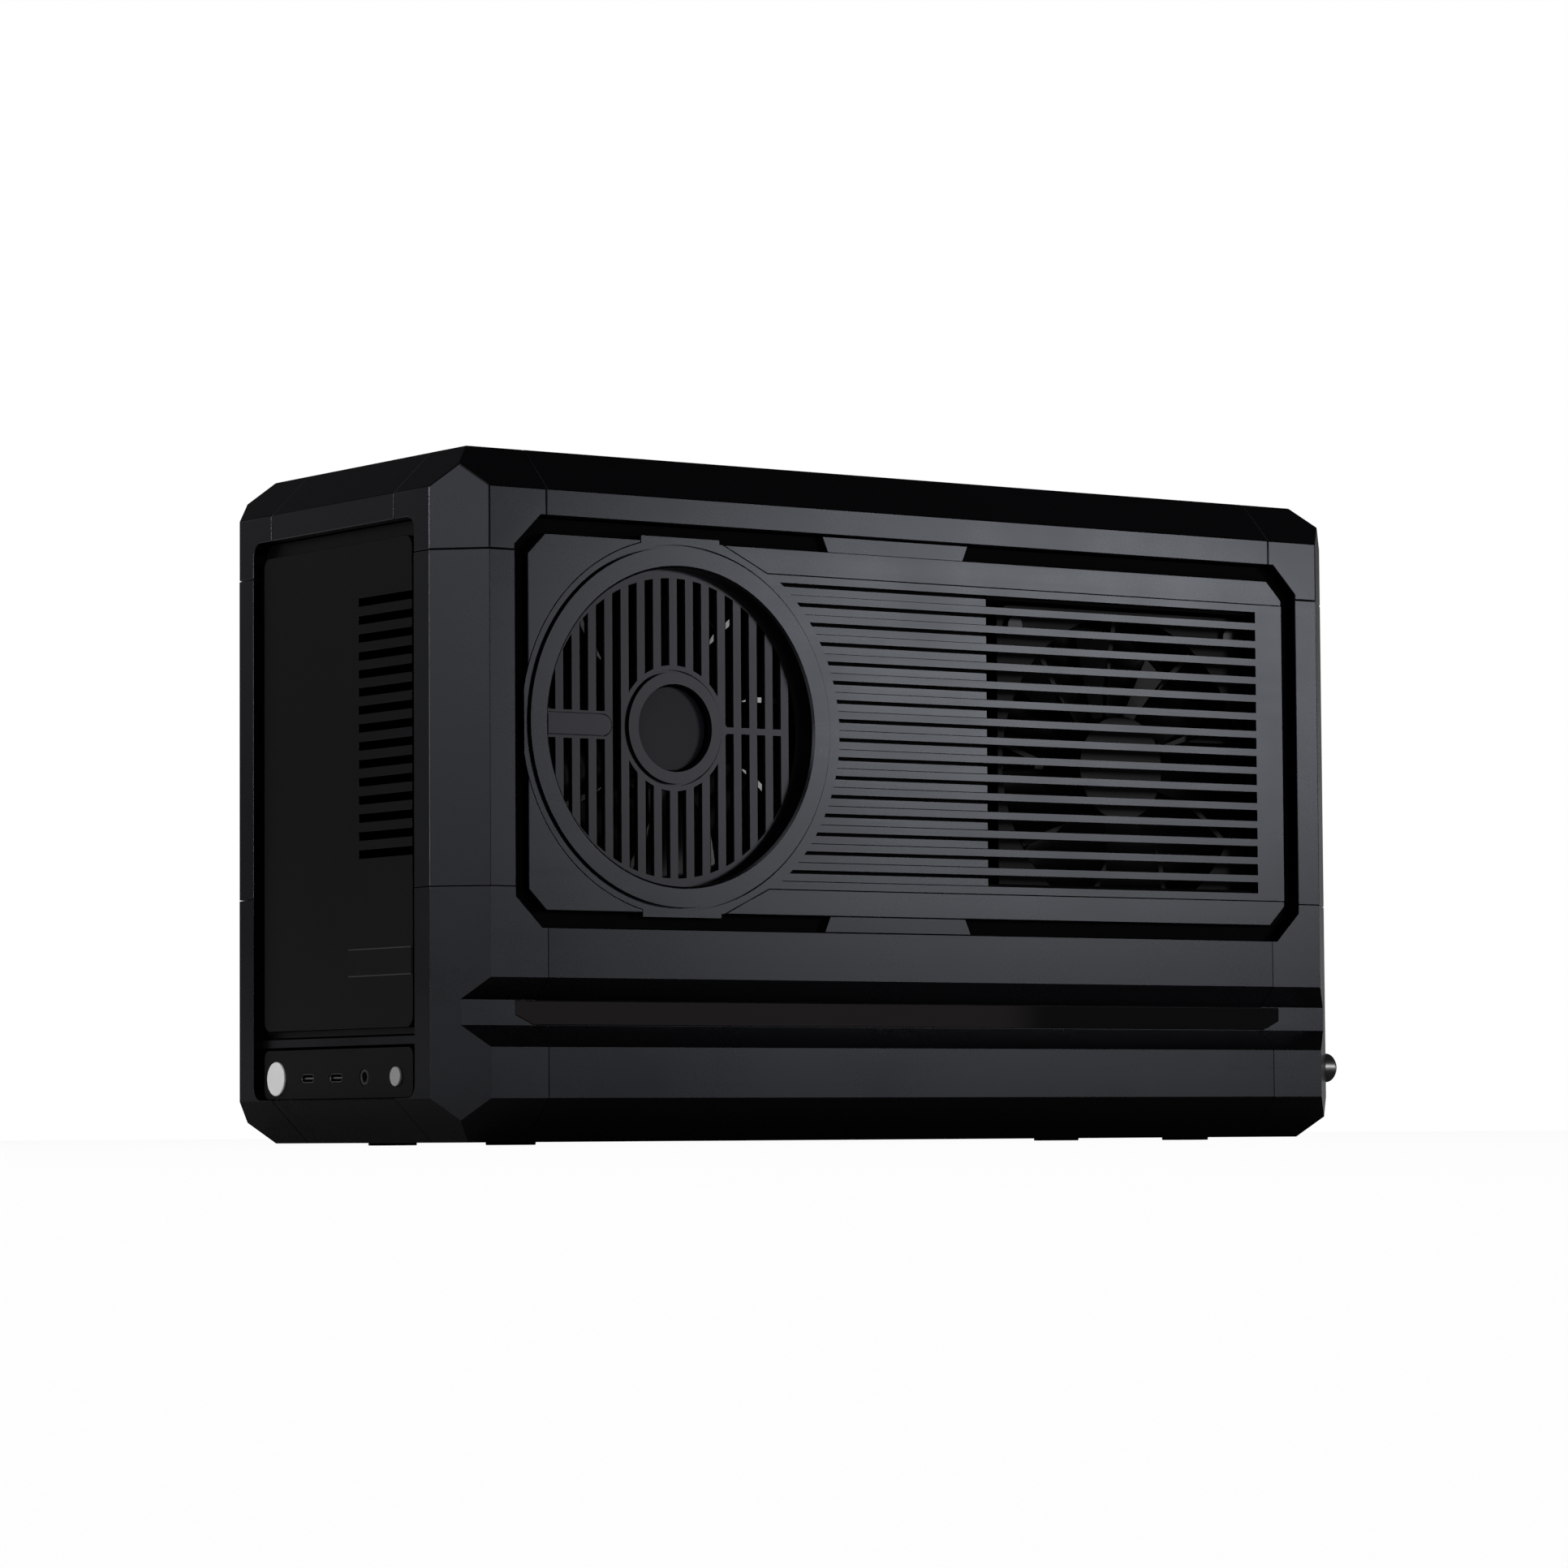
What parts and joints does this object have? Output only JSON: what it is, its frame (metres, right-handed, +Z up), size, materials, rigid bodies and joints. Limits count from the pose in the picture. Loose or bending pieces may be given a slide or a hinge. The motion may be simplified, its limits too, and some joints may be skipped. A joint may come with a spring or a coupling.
{
  "type": "mini-itx computer case",
  "caption": "Small aluminium computer case with chamfered frame, ringed round grille, louvred side, long groove, slotted end door and push buttons.",
  "frame": {"origin": "centre of the whole object's footprint at the underside of the feet", "axes": "+X along the case towards the rear end with the ports, -Y out of the long face with the round grille, +Z up"},
  "size_m": [0.4214, 0.166, 0.248],
  "materials": {
    "frame_grey": "satin dark anodised",
    "panel_grey": "brushed dark anodised",
    "panel_black": "matte black anodised",
    "strip_black": "gloss black",
    "foot_rubber": "matte",
    "button_silver": "satin",
    "button_grey": "satin",
    "port_steel": "plated",
    "black_plastic": "moulded",
    "fan_black": "moulded, semi gloss",
    "board_green": "solder mask",
    "inner_steel": "matte black powder coat",
    "standoff_brass": "turned"
  },
  "bodies": {
    "frame": {"corner_top_front_left": "frame_grey", "corner_top_front_right": "frame_grey", "corner_top_back_left": "frame_grey", "corner_top_back_right": "frame_grey", "corner_base_front_left": "frame_grey", "corner_base_front_right": "frame_grey", "corner_base_back_left": "frame_grey", "corner_base_back_right": "frame_grey", "post_front_left": "frame_grey", "post_front_right": "frame_grey", "post_back_left": "frame_grey", "post_back_right": "frame_grey", "beam_top_front": "frame_grey", "beam_top_back": "frame_grey", "beam_top_left": "frame_grey", "beam_top_right": "frame_grey", "sill_front": "frame_grey", "sill_back": "frame_grey", "beam_base_left": "frame_grey", "beam_base_right": "frame_grey", "crossbar_left": "frame_grey", "top_panel": "panel_grey", "base_panel": "panel_grey", "rear_plate": "panel_grey", "button_panel": "panel_black", "groove_strip_front": "strip_black", "groove_strip_back": "strip_black", "feet": "foot_rubber", "usb_ports": "port_steel", "slot_covers": "port_steel", "fan_screws": "port_steel", "audio_jack": "black_plastic", "fan_frame_ring": "black_plastic", "fan_frame_rear": "black_plastic", "power_inlet": "black_plastic", "button_board": "board_green", "fan_plate": "inner_steel", "board_tray": "inner_steel", "psu_bracket": "inner_steel", "standoffs": "standoff_brass"},
    "front_panel": {"side_panel_front": "panel_grey", "louvre_ring_plate": "panel_grey", "round_grille": "panel_black"},
    "back_panel": {"side_panel_back": "panel_grey"},
    "door": {"end_door": "panel_black"},
    "power_cap": {"power_button": "button_silver"},
    "reset_cap": {"reset_button": "button_grey"},
    "ring_rotor": {"fan_rotor_ring": "fan_black"},
    "rear_rotor": {"fan_rotor_rear": "fan_black"},
    "screw_front": {"thumbscrew_front": "port_steel"},
    "screw_back": {"thumbscrew_back": "port_steel"}
  },
  "joints": [
    {"name": "front_panel_pull", "type": "slide", "parent": "frame", "child": "front_panel", "axis": [0, -1, 0], "range_m": [0, 0.03]},
    {"name": "back_panel_pull", "type": "slide", "parent": "frame", "child": "back_panel", "axis": [0, 1, 0], "range_m": [0, 0.03]},
    {"name": "door_pull", "type": "slide", "parent": "frame", "child": "door", "axis": [-1, 0, 0], "range_m": [0, 0.03]},
    {"name": "power_press", "type": "slide", "parent": "frame", "child": "power_cap", "axis": [1, 0, 0], "range_m": [0, 0.001], "stiffness_N_per_m": 1200},
    {"name": "reset_press", "type": "slide", "parent": "frame", "child": "reset_cap", "axis": [1, 0, 0], "range_m": [0, 0.001], "stiffness_N_per_m": 900},
    {"name": "ring_fan_spin", "type": "hinge", "parent": "frame", "child": "ring_rotor", "pos_m": [-0.11325, -0.06, 0.14975], "axis": [0, -1, 0], "continuous": true},
    {"name": "rear_fan_spin", "type": "hinge", "parent": "frame", "child": "rear_rotor", "pos_m": [0.09725, -0.06, 0.1424], "axis": [0, -1, 0], "continuous": true},
    {"name": "screw_front_turn", "type": "hinge", "parent": "frame", "child": "screw_front", "pos_m": [0.19525, -0.0605, 0.028], "axis": [1, 0, 0], "continuous": true},
    {"name": "screw_back_turn", "type": "hinge", "parent": "frame", "child": "screw_back", "pos_m": [0.19525, 0.0605, 0.028], "axis": [1, 0, 0], "continuous": true}
  ]
}
